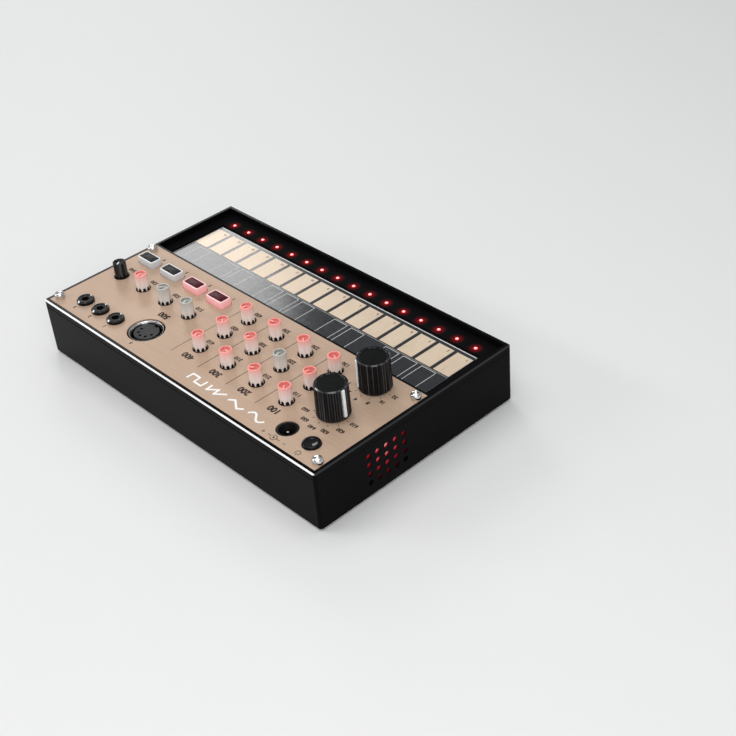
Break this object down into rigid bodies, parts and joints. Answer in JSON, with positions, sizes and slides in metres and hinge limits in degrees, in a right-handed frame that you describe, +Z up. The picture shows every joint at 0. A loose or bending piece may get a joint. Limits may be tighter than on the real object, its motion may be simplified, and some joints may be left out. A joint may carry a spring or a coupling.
{
  "type": "desktop analog synthesizer",
  "caption": "Shallow black desktop synthesizer with a gold control panel of lit knobs, selector knobs, push buttons and sockets, and a sunk touch keyboard with step lights.",
  "frame": {"origin": "middle of the footprint on the surface that the feet stand on", "axes": "+X to the player's right along the keyboard, +Y to the rear away from the player, +Z up"},
  "size_m": [0.193, 0.115, 0.046],
  "materials": {
    "case_black": "gloss black",
    "cover_black": "fine matte grain",
    "foot_rubber": "matte",
    "panel_gold": "satin gold-brown",
    "bright_screw": "bright",
    "dark_screw": "blackened",
    "key_sheet": "gloss black with printed fields",
    "key_gold": "satin gold",
    "board_green": "solder mask",
    "light_red": "clear red lens",
    "flat_cable": "satin",
    "switch_dark": "matte",
    "socket_black": "gloss black",
    "shell_metal": "bright",
    "speaker_grey": "plain",
    "cone_paper": "pressed paper",
    "cell_sleeve": "plain sleeve",
    "contact_metal": "nickel",
    "power_black": "gloss black",
    "knob_black": "satin black",
    "knob_frost": "frosted translucent",
    "button_frost": "frosted translucent",
    "inlay_dark": "smoked",
    "shaft_steel": "turned"
  },
  "bodies": {
    "case": {"upper_case": "case_black", "bottom_cover": "cover_black", "rubber_feet": "foot_rubber", "control_panel": "panel_gold", "panel_screws": "bright_screw", "cover_screws": "dark_screw", "board_screws": "dark_screw", "touch_sheet": "key_sheet", "key_pads": "key_gold", "touch_board": "board_green", "step_leds": "light_red", "touch_cable": "flat_cable", "panel_board": "board_green", "knob_leds": "light_red", "pot_bodies": "switch_dark", "selector_switches": "switch_dark", "button_switches": "switch_dark", "main_board": "board_green", "board_header": "switch_dark", "power_switch": "switch_dark", "audio_sockets": "socket_black", "socket_nuts": "socket_black", "din_insert": "socket_black", "din_shell": "shell_metal", "dc_socket": "socket_black", "speaker_basket": "speaker_grey", "speaker_cone": "cone_paper", "speaker_magnet": "speaker_grey", "battery_cells": "cell_sleeve", "battery_contacts": "contact_metal"},
    "battery_door": {"battery_door": "cover_black"},
    "power_button": {"power_button": "power_black"},
    "record_button": {"record_button": "button_frost", "record_inlay": "inlay_dark"},
    "play_button": {"play_button": "button_frost", "play_inlay": "inlay_dark"},
    "memory_button": {"memory_button": "button_frost", "memory_inlay": "inlay_dark"},
    "function_button": {"function_button": "button_frost", "function_inlay": "inlay_dark"},
    "detune_knob": {"detune_knob": "knob_frost"},
    "portamento_knob": {"portamento_knob": "knob_frost"},
    "pitch_sweep_knob": {"pitch_sweep_knob": "knob_frost"},
    "cutoff_knob": {"cutoff_knob": "knob_frost"},
    "peak_knob": {"peak_knob": "knob_frost"},
    "filter_sweep_knob": {"filter_sweep_knob": "knob_frost"},
    "lfo_rate_knob": {"lfo_rate_knob": "knob_frost"},
    "lfo_pitch_knob": {"lfo_pitch_knob": "knob_frost"},
    "lfo_cutoff_knob": {"lfo_cutoff_knob": "knob_frost"},
    "attack_knob": {"attack_knob": "knob_frost"},
    "decay_knob": {"decay_knob": "knob_frost"},
    "sustain_knob": {"sustain_knob": "knob_frost"},
    "delay_time_knob": {"delay_time_knob": "knob_frost"},
    "delay_feedback_knob": {"delay_feedback_knob": "knob_frost"},
    "tempo_knob": {"tempo_knob": "knob_frost"},
    "volume_knob": {"volume_knob": "knob_black"},
    "voice_selector": {"voice_knob": "knob_black", "voice_shaft": "shaft_steel"},
    "octave_selector": {"octave_knob": "knob_black", "octave_shaft": "shaft_steel"}
  },
  "joints": [
    {"name": "battery_door_hinge", "type": "hinge", "parent": "case", "child": "battery_door", "pos_m": [0, 0.0283, 0.0021], "axis": [1, 0, 0], "range_deg": [0, 90]},
    {"name": "power_press", "type": "slide", "parent": "case", "child": "power_button", "axis": [0, 0, -1], "range_m": [0, 0.0015], "stiffness_N_per_m": 300},
    {"name": "record_press", "type": "slide", "parent": "case", "child": "record_button", "axis": [0, 0, -1], "range_m": [0, 0.0006], "stiffness_N_per_m": 300},
    {"name": "play_press", "type": "slide", "parent": "case", "child": "play_button", "axis": [0, 0, -1], "range_m": [0, 0.0006], "stiffness_N_per_m": 300},
    {"name": "memory_press", "type": "slide", "parent": "case", "child": "memory_button", "axis": [0, 0, -1], "range_m": [0, 0.0006], "stiffness_N_per_m": 300},
    {"name": "function_press", "type": "slide", "parent": "case", "child": "function_button", "axis": [0, 0, -1], "range_m": [0, 0.0006], "stiffness_N_per_m": 300},
    {"name": "detune_turn", "type": "hinge", "parent": "case", "child": "detune_knob", "pos_m": [-0.0524, 0.0333, 0.0301], "axis": [0, 0, 1], "range_deg": [-175, 105]},
    {"name": "portamento_turn", "type": "hinge", "parent": "case", "child": "portamento_knob", "pos_m": [-0.0524, 0.01935, 0.0301], "axis": [0, 0, 1], "range_deg": [-120, 160]},
    {"name": "pitch_sweep_turn", "type": "hinge", "parent": "case", "child": "pitch_sweep_knob", "pos_m": [-0.0524, 0.0054, 0.0301], "axis": [0, 0, 1], "range_deg": [-200, 80]},
    {"name": "cutoff_turn", "type": "hinge", "parent": "case", "child": "cutoff_knob", "pos_m": [-0.0329, 0.0333, 0.0301], "axis": [0, 0, 1], "range_deg": [-90, 190]},
    {"name": "peak_turn", "type": "hinge", "parent": "case", "child": "peak_knob", "pos_m": [-0.0329, 0.01935, 0.0301], "axis": [0, 0, 1], "range_deg": [-155, 125]},
    {"name": "filter_sweep_turn", "type": "hinge", "parent": "case", "child": "filter_sweep_knob", "pos_m": [-0.0329, 0.0054, 0.0301], "axis": [0, 0, 1], "range_deg": [-180, 100]},
    {"name": "lfo_rate_turn", "type": "hinge", "parent": "case", "child": "lfo_rate_knob", "pos_m": [-0.0134, 0.0333, 0.0301], "axis": [0, 0, 1], "range_deg": [-215, 65]},
    {"name": "lfo_pitch_turn", "type": "hinge", "parent": "case", "child": "lfo_pitch_knob", "pos_m": [-0.0134, 0.01935, 0.0301], "axis": [0, 0, 1], "range_deg": [-110, 170]},
    {"name": "lfo_cutoff_turn", "type": "hinge", "parent": "case", "child": "lfo_cutoff_knob", "pos_m": [-0.0134, 0.0054, 0.0301], "axis": [0, 0, 1], "range_deg": [-70, 210]},
    {"name": "attack_turn", "type": "hinge", "parent": "case", "child": "attack_knob", "pos_m": [0.0061, 0.0333, 0.0301], "axis": [0, 0, 1], "range_deg": [-150, 130]},
    {"name": "decay_turn", "type": "hinge", "parent": "case", "child": "decay_knob", "pos_m": [0.0061, 0.01935, 0.0301], "axis": [0, 0, 1], "range_deg": [-190, 90]},
    {"name": "sustain_turn", "type": "hinge", "parent": "case", "child": "sustain_knob", "pos_m": [0.0061, 0.0054, 0.0301], "axis": [0, 0, 1], "range_deg": [-125, 155]},
    {"name": "delay_time_turn", "type": "hinge", "parent": "case", "child": "delay_time_knob", "pos_m": [0.0312, 0.0206, 0.0301], "axis": [0, 0, 1], "range_deg": [-165, 115]},
    {"name": "delay_feedback_turn", "type": "hinge", "parent": "case", "child": "delay_feedback_knob", "pos_m": [0.0489, 0.0206, 0.0301], "axis": [0, 0, 1], "range_deg": [-100, 180]},
    {"name": "tempo_turn", "type": "hinge", "parent": "case", "child": "tempo_knob", "pos_m": [0.0666, 0.0206, 0.0301], "axis": [0, 0, 1], "range_deg": [-140, 140]},
    {"name": "volume_turn", "type": "hinge", "parent": "case", "child": "volume_knob", "pos_m": [0.0843, 0.0206, 0.0301], "axis": [0, 0, 1], "range_deg": [-170, 110]},
    {"name": "voice_select", "type": "hinge", "parent": "case", "child": "voice_selector", "pos_m": [-0.0735, 0.0258, 0.0301], "axis": [0, 0, 1], "range_deg": [-150, 0]},
    {"name": "octave_select", "type": "hinge", "parent": "case", "child": "octave_selector", "pos_m": [-0.0735, 0.002, 0.0301], "axis": [0, 0, 1], "range_deg": [-30, 120]}
  ]
}
